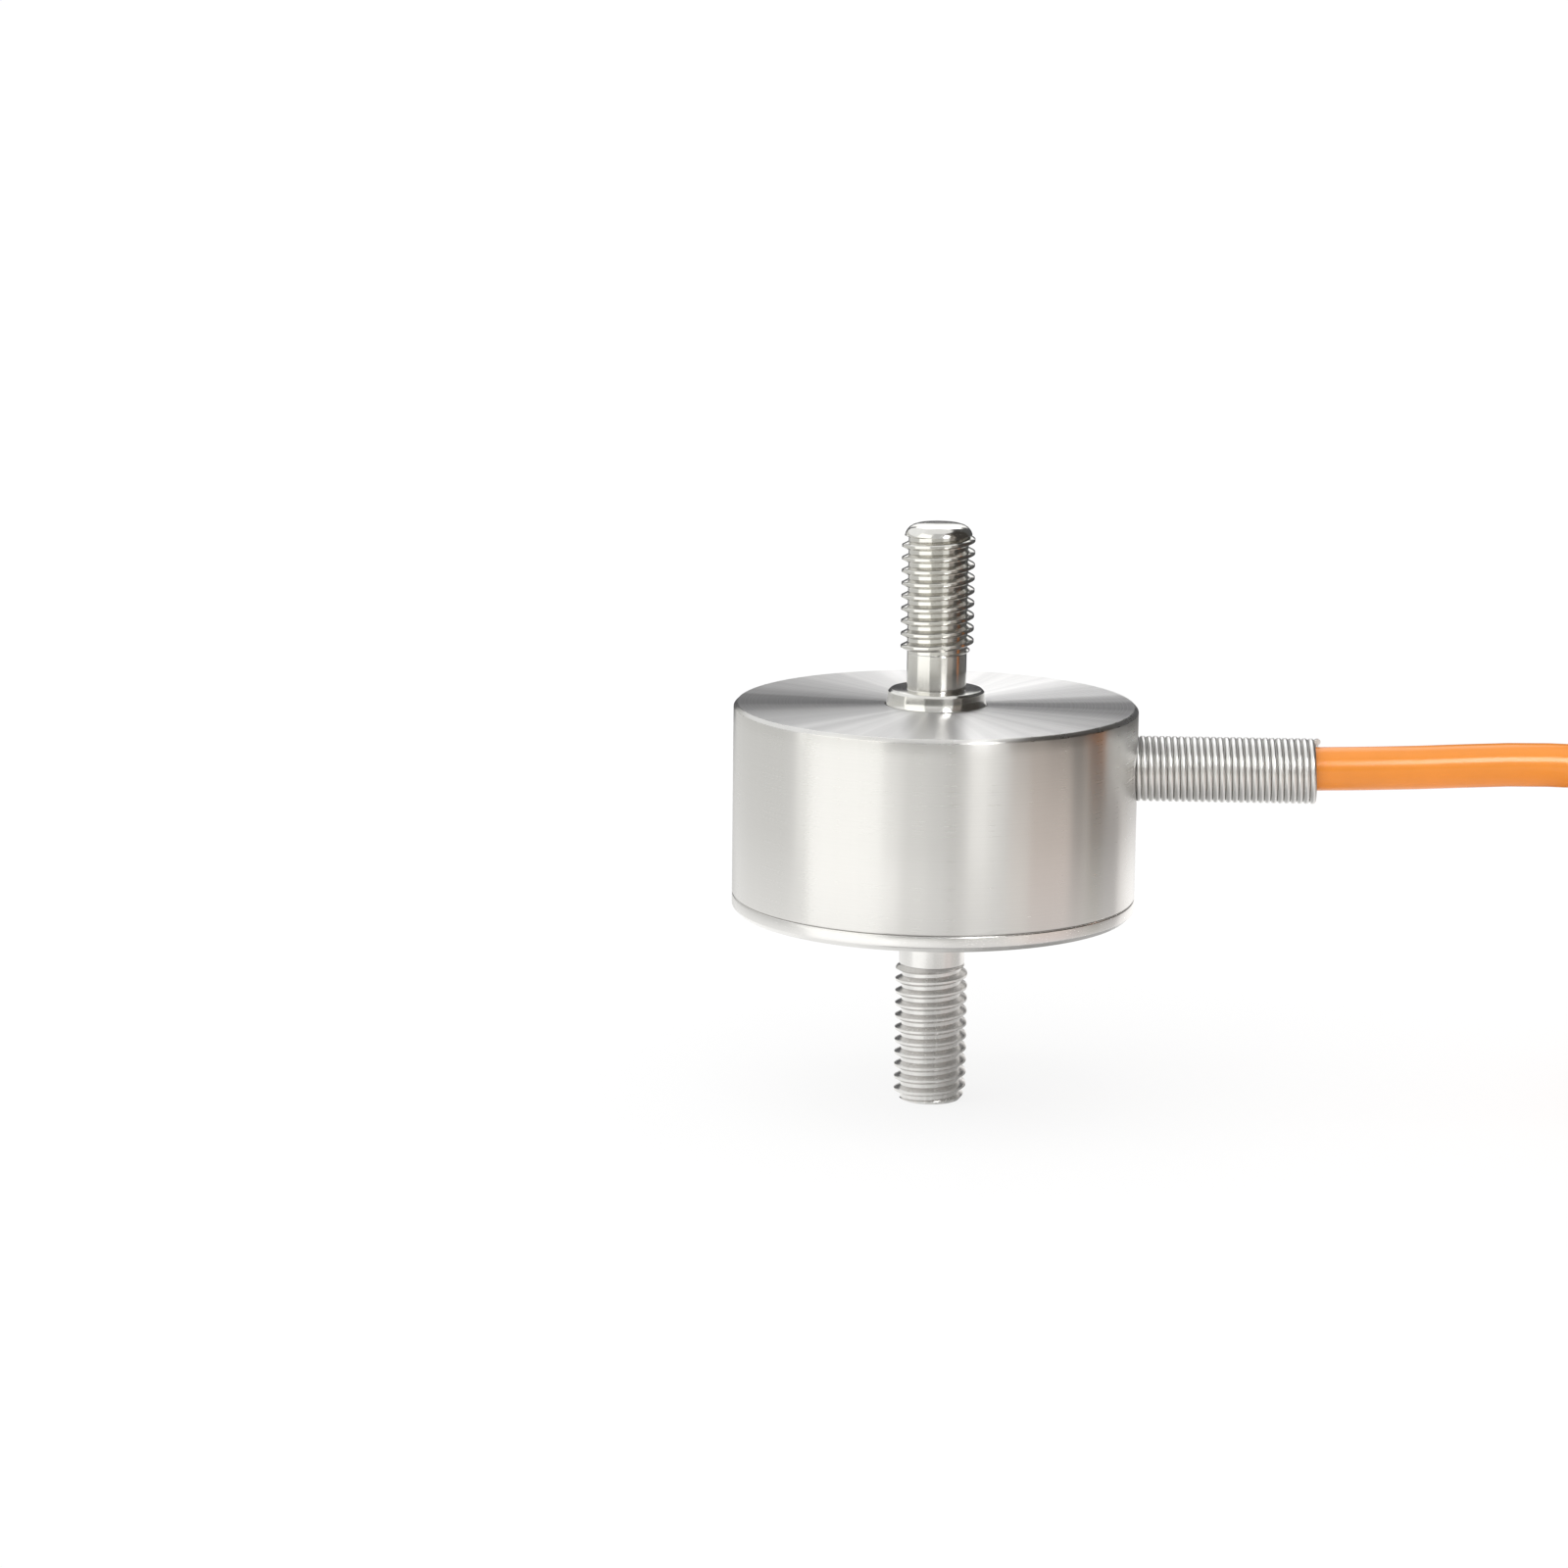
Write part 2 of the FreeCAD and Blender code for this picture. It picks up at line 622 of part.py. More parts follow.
# Leads: the four cores and the drain wire, fanned out on top of the hank, the cores with tinned tips
FAN = {"red": -2, "black": -1, "green": 1, "white": 2}
tail_centre = Vector(size("tail_end"), size("fold_middle_r"), size("tail_level"))
tips = []
for colour in CORE_COLOURS:
    side, level = CORE_SIDES[colour]
    start = tail_centre + Vector(0, side * size("core_spread"), level * size("core_spread"))
    bend = start - Vector(size("lead_straight"), 0, 0)
    end = Vector(
        size("tail_end") - size("lead_len"),
        size("fold_middle_r") + FAN[colour] * size("lead_fan"),
        size("hank_top") + size("lead_lift"),
    )
    tube(f"lead_{colour}", [start, bend, end], size("core_dia"))
    tips.append(Part.makeCylinder(size("tip_dia") / 2, size("tip_len"), end, end - bend))
lead_tips = doc.addObject("Part::Feature", "lead_tips")
lead_tips.Label = "lead_tips"
lead_tips.Shape = Part.makeCompound(tips)
drain_bend = tail_centre - Vector(size("lead_straight"), 0, 0)
drain_end = Vector(
    size("tail_end") - size("lead_len") - size("tip_len"),
    size("fold_middle_r"),
    size("hank_top") + size("lead_lift"),
)
tube("shield_drain", [tail_centre, drain_bend, drain_end], size("drain_dia"))

doc.recompute()
failed = [each.Name for each in doc.Objects if {"Invalid", "Error"} & set(each.State)]
if failed:
    raise RuntimeError(f"these objects failed: {failed}")

KINDS = ("PartDesign::Body", "Part::Feature", "Part::Box", "Part::Torus", "Part::Cylinder")
pieces = [each for each in doc.Objects if each.TypeId in KINDS]
for piece in pieces:
    if piece.Shape.isNull() or not piece.Shape.isValid():
        raise RuntimeError(f"{piece.Label} has no valid shape")

os.makedirs("parts", exist_ok=True)
for piece in pieces:
    piece.Shape.exportStep(f"parts/{piece.Label}.step")
    print(f"{piece.Label}: {len(piece.Shape.Solids)} solid, {piece.Shape.Volume:.2f} mm3")
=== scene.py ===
# %% [markdown]
# # Miniature force sensor
# The object is a turned steel can between two threaded studs. A cable leaves its side through a close-wound
# spring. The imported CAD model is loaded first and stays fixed, and every piece made here sits where the CAD
# says. Lengths are written in millimetres, as on the drawing, and scaled once where a piece is made.

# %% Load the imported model
import json
import math

import bmesh
import bpy
from mathutils import Matrix, Vector


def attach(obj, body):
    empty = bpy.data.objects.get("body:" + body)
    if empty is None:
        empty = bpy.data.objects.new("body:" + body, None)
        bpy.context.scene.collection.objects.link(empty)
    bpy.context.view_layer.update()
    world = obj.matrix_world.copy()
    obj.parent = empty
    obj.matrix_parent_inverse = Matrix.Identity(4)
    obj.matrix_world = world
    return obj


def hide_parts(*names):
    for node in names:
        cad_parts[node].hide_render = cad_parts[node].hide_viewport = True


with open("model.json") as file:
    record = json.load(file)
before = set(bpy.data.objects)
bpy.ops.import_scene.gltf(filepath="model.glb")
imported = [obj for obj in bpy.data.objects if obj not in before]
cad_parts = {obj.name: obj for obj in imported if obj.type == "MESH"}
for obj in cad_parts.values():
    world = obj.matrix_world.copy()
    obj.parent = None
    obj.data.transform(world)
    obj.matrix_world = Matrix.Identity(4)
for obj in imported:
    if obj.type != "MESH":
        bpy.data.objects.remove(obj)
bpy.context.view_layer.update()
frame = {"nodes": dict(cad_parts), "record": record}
nodes = frame["nodes"]
scene = bpy.context.scene
MM = 0.001
print(len(nodes), "CAD nodes loaded")

# %% [markdown]
# ## Camera
# The place and the lens were worked out from the photograph: the ellipses of the can's top edge and seam give
# the height of the view, and the crests of the thread, which are 1 mm apart, give the scale. The picture leans
# a little to the right, so the camera is rolled by the same angle. The lens has no shift.

# %% Camera
CAMERA_AT = Vector((0.0, -386.08, 85.16)) * MM
CAMERA_AIM = Vector((-11.95, 0.0, 9.89)) * MM
CAMERA_ROLL = math.radians(0.65)
SENSOR_WIDTH, LENS = 36.0, 113.84

camera_lens = bpy.data.cameras.new("camera")
camera_lens.sensor_width = SENSOR_WIDTH
camera_lens.lens = LENS
camera = bpy.data.objects.new("camera", camera_lens)
sight = (CAMERA_AIM - CAMERA_AT).to_track_quat("-Z", "Y").to_matrix().to_4x4()
camera.matrix_world = Matrix.Translation(CAMERA_AT) @ sight @ Matrix.Rotation(CAMERA_ROLL, 4, "Z")
scene.collection.objects.link(camera)
scene.camera = camera
print("camera looks from", tuple(round(c, 3) for c in camera.location))

# %% [markdown]
# ## Cable
# The real cable is a round, medium-stiff jacket of 3.5 mm. It runs straight out of the spring, leaves the
# picture, and its spare length is a hank of nine turns with a tie round one side. A curve with a round bevel is
# the simplest cable, and one NURBS spline keeps its line smooth. The first points are the CAD route's own.

# %% Cable: the run from the nipple to the hank
CABLE_DIA = 3.5
CABLE_HEIGHT = 11.65
HANK_TOP = -2.65
cable_points = [
    (10.4, 0.0, CABLE_HEIGHT),
    (31.2, 0.0, CABLE_HEIGHT),
    (52.5, 0.0, 12.93),
    (64.5, -2.6, 10.4),
    (76.0, -7.4, 5.4),
    (88.0, -11.9, 0.6),
    (99.0, -13.8, -2.0),
    (107.0, -14.0, HANK_TOP),
]
print(len(cable_points), "points from the nipple to the hank")

# %% [markdown]
# The hank is wound between two folds. A turn goes along the back run, round the near fold, along the front run,
# where it steps to the next place in the bundle, and round the far fold. The places go down the outer column, up
# the middle one and down the inner one. A spline of order 3 passes inside its points, so the folds' points lie
# a little further out than the cable itself. Each point carries the cable's radius and the bevel's depth is 1,
# because Blender counts a point's radius in the curve's box.

# %% Cable: helpers for the hank
NEAR_X, FAR_X = 77.25, 108.85
OUTER, MIDDLE, INNER = 17.5, 14.0, 10.5
TOP, MID, LOW = -6.15, -9.65, -13.15
TAIL_LEVEL = -2.3
TAIL_END = 96.85
FOLD_STEPS = 12
FOLD_REACH = 1.02
RADIUS_PACE, HEIGHT_DELAY = 1.6, 0.4
PLACES = [(OUTER, TOP), (OUTER, MID), (OUTER, LOW), (MIDDLE, LOW), (MIDDLE, MID), (MIDDLE, TOP)]
PLACES += [(INNER, TOP), (INNER, MID), (INNER, LOW)]


def along(start, end, share):
    """The value at a share of the way between two others, with a soft start and stop."""
    share = min(max(share, 0.0), 1.0)
    return start + (end - start) * share * share * (3 - 2 * share)


def fold(centre_x, first_angle, start, end):
    """Points of a half turn about a fold's centre, from one (radius, height) to another."""
    for step in range(FOLD_STEPS + 1):
        share = step / FOLD_STEPS
        angle = math.radians(first_angle + 180 * share)
        radius = along(start[0], end[0], RADIUS_PACE * share) * FOLD_REACH
        height = along(start[1], end[1], (1 + HEIGHT_DELAY) * share - HEIGHT_DELAY)
        yield centre_x + radius * math.cos(angle), radius * math.sin(angle), height


def on_run(share):
    """The X of a point that lies a share of the way along a run."""
    return NEAR_X + (FAR_X - NEAR_X) * share


print(len(PLACES), "places in the bundle")

# %% Cable: the turns of the hank and the tail
cable_points += list(fold(FAR_X, -90, (MIDDLE, HANK_TOP), PLACES[0]))[1:]
for number, (radius, height) in enumerate(PLACES):
    cable_points += [(on_run(share), radius, height) for share in (0.87, 0.5, 0.13)]
    cable_points += fold(NEAR_X, 90, (radius, height), (radius, height))
    if number + 1 < len(PLACES):
        following = PLACES[number + 1]
        cable_points += [(on_run(share), -radius, height) for share in (0.13, 0.27)]
        cable_points += [(on_run(share), -following[0], following[1]) for share in (0.73, 0.87)]
        cable_points += fold(FAR_X, -90, following, following)
cable_points += [
    (on_run(0.13), -9.8, -13.0),
    (on_run(0.28), -7.8, -11.5),
    (on_run(0.42), -6.9, -8.3),
    (on_run(0.56), -7.4, -5.0),
    (on_run(0.70), -9.0, -2.9),
    (on_run(0.85), -10.6, -2.35),
]
cable_points += fold(FAR_X, -90, (10.8, TAIL_LEVEL), (MIDDLE, TAIL_LEVEL))
cable_points += [(on_run(0.87), MIDDLE, TAIL_LEVEL), (TAIL_END, MIDDLE, TAIL_LEVEL)]
print(len(cable_points), "points from the nipple to the tail's end")

# %% Cable: the spline
cable_line = bpy.data.curves.new("cable", "CURVE")
cable_line.dimensions = "3D"
spline = cable_line.splines.new("NURBS")
spline.points.add(len(cable_points) - 1)
for point, place in zip(spline.points, cable_points):
    point.co = (*(Vector(place) * MM), 1.0)
    point.radius = CABLE_DIA / 2 * MM
spline.order_u = 3
spline.use_endpoint_u = True
spline.resolution_u = 6
cable_line.bevel_depth = 1.0
cable_line.bevel_resolution = 6
cable_line.use_fill_caps = True
cable = bpy.data.objects.new("cable", cable_line)
scene.collection.objects.link(cable)
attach(cable, "root")
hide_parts("cable_run", "cable_hank", "cable_tail")
print("cable spline of", len(spline.points), "points")

# %% [markdown]
# ## Turned pieces
# The can, the base plate and the studs all come from a lathe, so they are made as a lathe makes them: a profile
# of (radius, height) points is spun about the axis. The sharp corners get a small bevel, which catches the light
# as the broken edge of a real turned part does. Smooth shading stops at the corners that stay sharp.

# %% Helpers for turned pieces
SPIN_STEPS = 256
WELD = 1e-7
SHARP_ANGLE = 20
AXIS_X, AXIS_Z = Vector((1, 0, 0)), Vector((0, 0, 1))


def spun(profile, steps=SPIN_STEPS, closed=False):
    """A bmesh turned about Z from (radius, height) points in millimetres."""
    bm = bmesh.new()
    verts = [bm.verts.new((radius * MM, 0, height * MM)) for radius, height in profile]
    pairs = list(zip(verts, verts[1:]))
    if closed:
        pairs.append((verts[-1], verts[0]))
    edges = [bm.edges.new(pair) for pair in pairs]
    bmesh.ops.spin(
        bm, geom=verts + edges, cent=(0, 0, 0), axis=AXIS_Z, angle=math.tau, steps=steps, use_merge=True,
    )
    bmesh.ops.remove_doubles(bm, verts=bm.verts, dist=WELD)
    bmesh.ops.recalc_face_normals(bm, faces=bm.faces)
    return bm


def break_edges(bm, width, least_angle=30):
    """Bevel every edge that is sharper than an angle in degrees."""
    sharp = [
        edge for edge in bm.edges
        if len(edge.link_faces) == 2 and edge.calc_face_angle() > math.radians(least_angle)
    ]
    bmesh.ops.bevel(
        bm, geom=sharp, offset=width * MM, segments=2, profile=0.5, affect="EDGES", material=-1,
        clamp_overlap=True,
    )


def absorb(bm, other):
    """Add all of another bmesh to a bmesh, and free the other."""
    mesh = bpy.data.meshes.new("absorbed")
    other.to_mesh(mesh)
    other.free()
    bm.from_mesh(mesh)
    bpy.data.meshes.remove(mesh)


def piece(name, bm, replaced=(), sharp_angle=SHARP_ANGLE):
    """Turn a bmesh into a piece that rides on the part."""
    mesh = bpy.data.meshes.new(name)
    for face in bm.faces:
        face.smooth = True
    bm.to_mesh(mesh)
    bm.free()
    mesh.set_sharp_from_angle(angle=math.radians(sharp_angle))
    made = bpy.data.objects.new(name, mesh)
    scene.collection.objects.link(made)
    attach(made, "root")
    if replaced:
        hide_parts(*replaced)
    print(name, "has", len(mesh.polygons), "faces")
    return made


# %% [markdown]
# ## Housing
# A plain can with a flat, finely turned top. The CAD solid has the right form, but its facets show in a mirror
# finish, so it is spun again with more steps. The bore for the cable's nipple is cut with a Boolean modifier,
# because a crossing bore isn't something a lathe can make.

# %% Housing
BODY_R, BODY_TOP = 16.0, 16.6
SEAM = 1.3
BORE_R, UPPER_BORE_R = 13.5, 12.6
HUB_HOLE_R, CEILING, SHOULDER = 4.05, 14.6, 8.05
HOUSING_EDGE = 0.06
housing_bm = spun([
    (BORE_R, SEAM), (15.91, SEAM), (BODY_R, 1.39), (BODY_R, 8.0), (BODY_R, 15.2), (BODY_R, 16.3),
    (15.7, BODY_TOP), (HUB_HOLE_R, BODY_TOP), (HUB_HOLE_R, CEILING), (UPPER_BORE_R, CEILING),
    (UPPER_BORE_R, SHOULDER), (BORE_R, SHOULDER),
], closed=True)
break_edges(housing_bm, HOUSING_EDGE)
housing = piece("housing_can", housing_bm, ["housing"])

# %% Bore for the cable


def bore(made, centre, axis, radius, depth):
    """Bore a round hole through a piece with a Boolean modifier, and keep the result as its mesh."""
    cutter_bm = bmesh.new()
    bmesh.ops.create_cone(
        cutter_bm, cap_ends=True, segments=64, radius1=radius * MM, radius2=radius * MM, depth=depth * MM,
        matrix=Matrix.Translation(Vector(centre) * MM) @ axis.to_track_quat("Z", "Y").to_matrix().to_4x4(),
    )
    cutter_mesh = bpy.data.meshes.new("cutter")
    cutter_bm.to_mesh(cutter_mesh)
    cutter_bm.free()
    cutter = bpy.data.objects.new("cutter", cutter_mesh)
    scene.collection.objects.link(cutter)
    cut = made.modifiers.new("bore", "BOOLEAN")
    cut.operation = "DIFFERENCE"
    cut.solver = "EXACT"
    cut.object = cutter
    bpy.context.view_layer.update()
    graph = bpy.context.evaluated_depsgraph_get()
    bored = bpy.data.meshes.new_from_object(made.evaluated_get(graph))
    made.modifiers.remove(cut)
    made.data = bored
    bored.set_sharp_from_angle(angle=math.radians(SHARP_ANGLE))
    bpy.data.objects.remove(cutter)
    print(made.name, "bored:", len(bored.polygons), "faces")


SIDE_BORE_R, SIDE_BORE_DEPTH = 2.75, 10.0
SIDE_BORE_AT = (15.0, 0.0, CABLE_HEIGHT)
bore(housing, SIDE_BORE_AT, AXIS_X, SIDE_BORE_R, SIDE_BORE_DEPTH)

# %% [markdown]
# ## Threads
# Both studs have a right-hand M6 thread of 1 mm pitch. A texture can't give its toothed outline, so the thread is
# real geometry: the profile of one pitch is spun with a lift at each step, and the turns weld into one surface.
# Two plane cuts give its length, and a limit on the radius gives the chamfers at its ends.

# %% Helpers for threads
THREAD_R, ROOT_R, PITCH = 2.88, 2.36, 1.0
THREAD_STEPS = 72
TURN_WELD, CUT_REACH = 1e-6, 1e-8
THREAD_OUTLINE = [
    (ROOT_R, 0.0), (ROOT_R, 0.2), (THREAD_R - 0.03, 0.45), (THREAD_R, 0.48), (THREAD_R, 0.65),
    (THREAD_R - 0.03, 0.68), (ROOT_R, 0.93), (ROOT_R, PITCH),
]


def wind(bm, centre, axis, pitch, steps, turns):
    """Spin what is in a bmesh by one lifted turn, then stack copies of that turn and weld them."""
    bmesh.ops.spin(
        bm, geom=bm.verts[:] + bm.edges[:], cent=centre, axis=axis, dvec=axis * pitch / steps * MM, angle=math.tau,
        steps=steps,
    )
    turn = bm.verts[:] + bm.edges[:] + bm.faces[:]
    for number in range(1, turns):
        copy = bmesh.ops.duplicate(bm, geom=turn)["geom"]
        verts = [each for each in copy if isinstance(each, bmesh.types.BMVert)]
        bmesh.ops.translate(bm, verts=verts, vec=axis * pitch * number * MM)
    bmesh.ops.remove_doubles(bm, verts=bm.verts, dist=TURN_WELD)


def allowed_radius(limit, distance):
    """The radius that a limit, a list of (distance from the end, radius), allows at a distance."""
    for (near, near_radius), (far, far_radius) in zip(limit, limit[1:]):
        if distance < far:
            return near_radius + (far_radius - near_radius) * (distance - near) / (far - near)
    return THREAD_R


def add_thread(bm, low, high, low_limit, high_limit, lag):
    """Add a thread between two heights, with a radius limit towards each end. Its lag turns it about Z."""
    part = bmesh.new()
    turns = math.ceil((high - low) / PITCH) + 2
    foot = low - lag - PITCH
    verts = [part.verts.new((radius * MM, 0, (foot + height) * MM)) for radius, height in THREAD_OUTLINE]
    edges = [part.edges.new(pair) for pair in zip(verts, verts[1:])]
    bmesh.ops.subdivide_edges(part, edges=edges, cuts=2)
    wind(part, (0, 0, 0), AXIS_Z, PITCH, THREAD_STEPS, turns)
    for height, keep_above in ((low, True), (high, False)):
        bmesh.ops.bisect_plane(
            part, geom=part.verts[:] + part.edges[:] + part.faces[:], dist=CUT_REACH,
            plane_co=AXIS_Z * height * MM, plane_no=AXIS_Z, clear_inner=keep_above, clear_outer=not keep_above,
        )
    for vert in part.verts:
        radius = vert.co.xy.length / MM
        allowed = min(
            allowed_radius(low_limit, vert.co.z / MM - low), allowed_radius(high_limit, high - vert.co.z / MM),
        )
        if radius > allowed:
            vert.co.xy *= allowed / radius
    bmesh.ops.holes_fill(part, edges=[edge for edge in part.edges if edge.is_boundary], sides=0)
    bmesh.ops.recalc_face_normals(part, faces=part.faces)
    absorb(bm, part)


# %% [markdown]
# ## Sensing element
# The upper stud, its neck and the round collar are one piece with the diaphragm inside the can. The stud is spun
# and gets its thread, and the drilled diaphragm stays hidden below the can's top.

# %% Upper stud
HUB_R, HUB_FOOT, COLLAR_TOP = 4.0, 4.9, 17.8
NECK_R, NECK_TOP = 2.35, 20.7
TIP_START, UPPER_TIP = 30.1, 31.0
STUD_STEPS = 128
STUD_EDGE, STUD_CORNER = 0.04, 40
stud_bm = spun([
    (0.0, HUB_FOOT), (HUB_R, HUB_FOOT), (HUB_R, BODY_TOP), (3.9, 16.82), (3.84, 17.15), (3.8, 17.6),
    (3.6, COLLAR_TOP), (NECK_R, COLLAR_TOP), (NECK_R, NECK_TOP), (0.0, NECK_TOP),
], steps=STUD_STEPS)
break_edges(stud_bm, STUD_EDGE, STUD_CORNER)
RUN_OUT = [(0.0, NECK_R), (0.4, THREAD_R)]
RUN_IN = [(0.0, 2.6), (0.3, THREAD_R)]
TIP_OVERLAP, UPPER_LAG = 0.02, 0.59
add_thread(stud_bm, NECK_TOP, TIP_START + TIP_OVERLAP, RUN_OUT, RUN_IN, UPPER_LAG)
absorb(stud_bm, spun([
    (0.0, TIP_START), (2.64, TIP_START), (2.62, 30.2), (2.51, 30.42), (2.32, 30.64), (2.05, 30.81),
    (1.7, 30.92), (1.2, 30.975), (0.6, 30.995), (0.0, UPPER_TIP),
], steps=STUD_STEPS))
stud = piece("loading_stud", stud_bm, ["sensing_element"])

# %% Drilled diaphragm
RING_R, RING_INNER_R = 13.45, 11.05
RING_FOOT, RING_TOP = 4.5, 8.0
DISC_FOOT, DISC_TOP = 5.6, 7.0
DISC_STEPS = 96
diaphragm_bm = spun([
    (HUB_R, DISC_FOOT), (RING_INNER_R, DISC_FOOT), (RING_INNER_R, RING_FOOT), (RING_R, RING_FOOT),
    (RING_R, RING_TOP), (RING_INNER_R, RING_TOP), (RING_INNER_R, DISC_TOP), (HUB_R, DISC_TOP),
], steps=DISC_STEPS, closed=True)
diaphragm = piece("spoke_diaphragm", diaphragm_bm, ["sensing_element"])
SPOKE_HOLE_R, SPOKE_HOLE_REACH, SPOKE_HOLE_DEPTH = 2.7, 7.5, 4.0
DISC_MIDDLE = 6.3
for quarter in range(4):
    angle = quarter * math.pi / 2
    place = (SPOKE_HOLE_REACH * math.cos(angle), SPOKE_HOLE_REACH * math.sin(angle), DISC_MIDDLE)
    bore(diaphragm, place, AXIS_Z, SPOKE_HOLE_R, SPOKE_HOLE_DEPTH)

# %% [markdown]
# ## Base plate
# The rim below the seam, the flat underside and the lower stud are one turned piece.

# %% Base plate and lower stud
FLOOR = -15.5
LOWER_NECK_R, LOWER_NECK = 2.6, -4.4
GROOVE_R, GROOVE_FOOT, GROOVE_TOP = 12.55, 2.05, 3.15
BASE_FLOOR = 3.2
BASE_EDGE, BASE_CORNER = 0.05, 40
base_bm = spun([
    (0.0, LOWER_NECK), (LOWER_NECK_R, LOWER_NECK), (LOWER_NECK_R, 0.0), (15.6, 0.0), (BODY_R, 0.4),
    (BODY_R, 1.21), (15.91, SEAM), (RING_R, SEAM), (RING_R, GROOVE_FOOT), (GROOVE_R, GROOVE_FOOT),
    (GROOVE_R, GROOVE_TOP), (RING_R, GROOVE_TOP), (RING_R, RING_FOOT), (RING_INNER_R, RING_FOOT),
    (RING_INNER_R, BASE_FLOOR), (0.0, BASE_FLOOR),
])
break_edges(base_bm, BASE_EDGE, BASE_CORNER)
LOWER_RUN_IN = [(0.0, 2.4), (0.6, THREAD_R)]
LOWER_RUN_OUT = [(0.0, LOWER_NECK_R), (0.4, THREAD_R)]
LOWER_LAG = 0.33
add_thread(base_bm, FLOOR, LOWER_NECK, LOWER_RUN_IN, LOWER_RUN_OUT, LOWER_LAG)
base = piece("base_and_stud", base_bm, ["base_plate"])

# %% [markdown]
# ## Spring
# The strain relief is a spring of half-millimetre wire, wound so close that its turns touch. The wire's round
# section is spun about the cable's axis with a lift at each step.

# %% Spring
SPRING_START, SPRING_TURNS, SPRING_PITCH = 14.6, 31, 0.51
WIRE_R, COIL_R = 0.25, 2.35
WIRE_STEPS, WIRE_SIDES = 48, 14
WIRE_CORNER = 60
wire_start = Vector((SPRING_START + WIRE_R, 0, CABLE_HEIGHT + COIL_R)) * MM
spring_bm = bmesh.new()
bmesh.ops.create_circle(
    spring_bm, cap_ends=False, radius=WIRE_R * MM, segments=WIRE_SIDES,
    matrix=Matrix.Translation(wire_start) @ Matrix.Rotation(math.pi / 2, 4, "X"),
)
wind(spring_bm, (0, 0, CABLE_HEIGHT * MM), AXIS_X, SPRING_PITCH, WIRE_STEPS, SPRING_TURNS - 1)
bmesh.ops.holes_fill(spring_bm, edges=[edge for edge in spring_bm.edges if edge.is_boundary], sides=0)
bmesh.ops.recalc_face_normals(spring_bm, faces=spring_bm.faces)
spring = piece("spring_coil", spring_bm, ["spring_strain_relief"], WIRE_CORNER)

# %% [markdown]
# ## Tie
# A nylon tie holds the hank: a band drawn round one run and the tail, a head on top and an end cut short. It is
# moulded, so its edges are rounded. Each of its three parts is a flat form in the YZ plane, drawn out along X.

# %% Tie
TIE_X, TIE_WIDTH, TIE_END_WIDTH = 104.85, 4.0, 2.6
TIE_EDGE, TIE_CORNER = 0.12, 40
BAND_INSIDE = [
    (-4.35, -14.9), (4.35, -14.9), (5.25, -14.0), (5.25, -5.3), (1.75, -0.55), (-1.75, -0.55), (-5.25, -5.3),
    (-5.25, -14.0),
]
BAND_OUTSIDE = [
    (-4.59, -15.5), (4.59, -15.5), (5.85, -14.24), (5.85, -5.06), (1.99, 0.05), (-1.99, 0.05), (-5.85, -5.06),
    (-5.85, -14.24),
]
HEAD = [(-2.2, -0.55), (2.2, -0.55), (2.2, 2.05), (-2.2, 2.05)]
CUT_END = [(2.1, 0.55), (4.6, 0.55), (4.6, 1.15), (2.1, 1.15)]


def drawn_out(forms, width):
    """A bmesh of flat forms with corners at (Y from the tail, Z), joined and drawn out by a width along X."""
    bm = bmesh.new()
    for corners in forms:
        bm.faces.new([bm.verts.new(Vector((TIE_X - width / 2, MIDDLE + y, z)) * MM) for y, z in corners])
    bmesh.ops.remove_doubles(bm, verts=bm.verts, dist=WELD)
    grown = bmesh.ops.extrude_face_region(bm, geom=bm.faces[:], use_keep_orig=True)["geom"]
    moved = [each for each in grown if isinstance(each, bmesh.types.BMVert)]
    bmesh.ops.translate(bm, verts=moved, vec=AXIS_X * width * MM)
    bmesh.ops.recalc_face_normals(bm, faces=bm.faces)
    break_edges(bm, TIE_EDGE)
    return bm


inside_pairs = zip(BAND_INSIDE, BAND_INSIDE[1:] + BAND_INSIDE[:1])
outside_pairs = zip(BAND_OUTSIDE, BAND_OUTSIDE[1:] + BAND_OUTSIDE[:1])
tie_bm = drawn_out([(a, b, d, c) for (a, b), (c, d) in zip(inside_pairs, outside_pairs)], TIE_WIDTH)
absorb(tie_bm, drawn_out([HEAD], TIE_WIDTH))
absorb(tie_bm, drawn_out([CUT_END], TIE_END_WIDTH))
tie = piece("cable_tie", tie_bm, ["hank_tie"], TIE_CORNER)

# %% [markdown]
# ## Finishes
# A small class wraps a node's socket, so that the maths of a finish reads as a formula. Its one method for other
# nodes takes the node's type, its settings and its inputs.

# %% Shader helper


class Wire:
    """A socket of a node tree that can be used in formulas."""

    def __init__(self, tree, socket=None):
        self.tree = tree
        self.socket = socket

    def node(self, kind, settings=None, sockets=None, out=0):
        """Add a node and give back one of its outputs."""
        made = self.tree.nodes.new("ShaderNode" + kind)
        for name, value in (settings or {}).items():
            setattr(made, name, value)
        for name, value in (sockets or {}).items():
            if isinstance(value, Wire):
                self.tree.links.new(value.socket, made.inputs[name])
            else:
                made.inputs[name].default_value = value
        return Wire(self.tree, made.outputs[out])

    def maths(self, operation, *values):
        """Add a Math node."""
        return self.node("Math", {"operation": operation}, dict(enumerate(values)))

    def __add__(self, other):
        return self.maths("ADD", self, other)

    def __mul__(self, other):
        return self.maths("MULTIPLY", self, other)

    __radd__ = __add__
    __rmul__ = __mul__


def new_finish(name, **constants):
    """A material with one Principled shader, whose plain numbers and colours are set on its own sockets."""
    material = bpy.data.materials.new(name)
    material.use_nodes = True
    shader = material.node_tree.nodes["Principled BSDF"]
    for socket, value in constants.items():
        shader.inputs[socket.replace("_", " ")].default_value = value
    return material, Wire(material.node_tree), shader


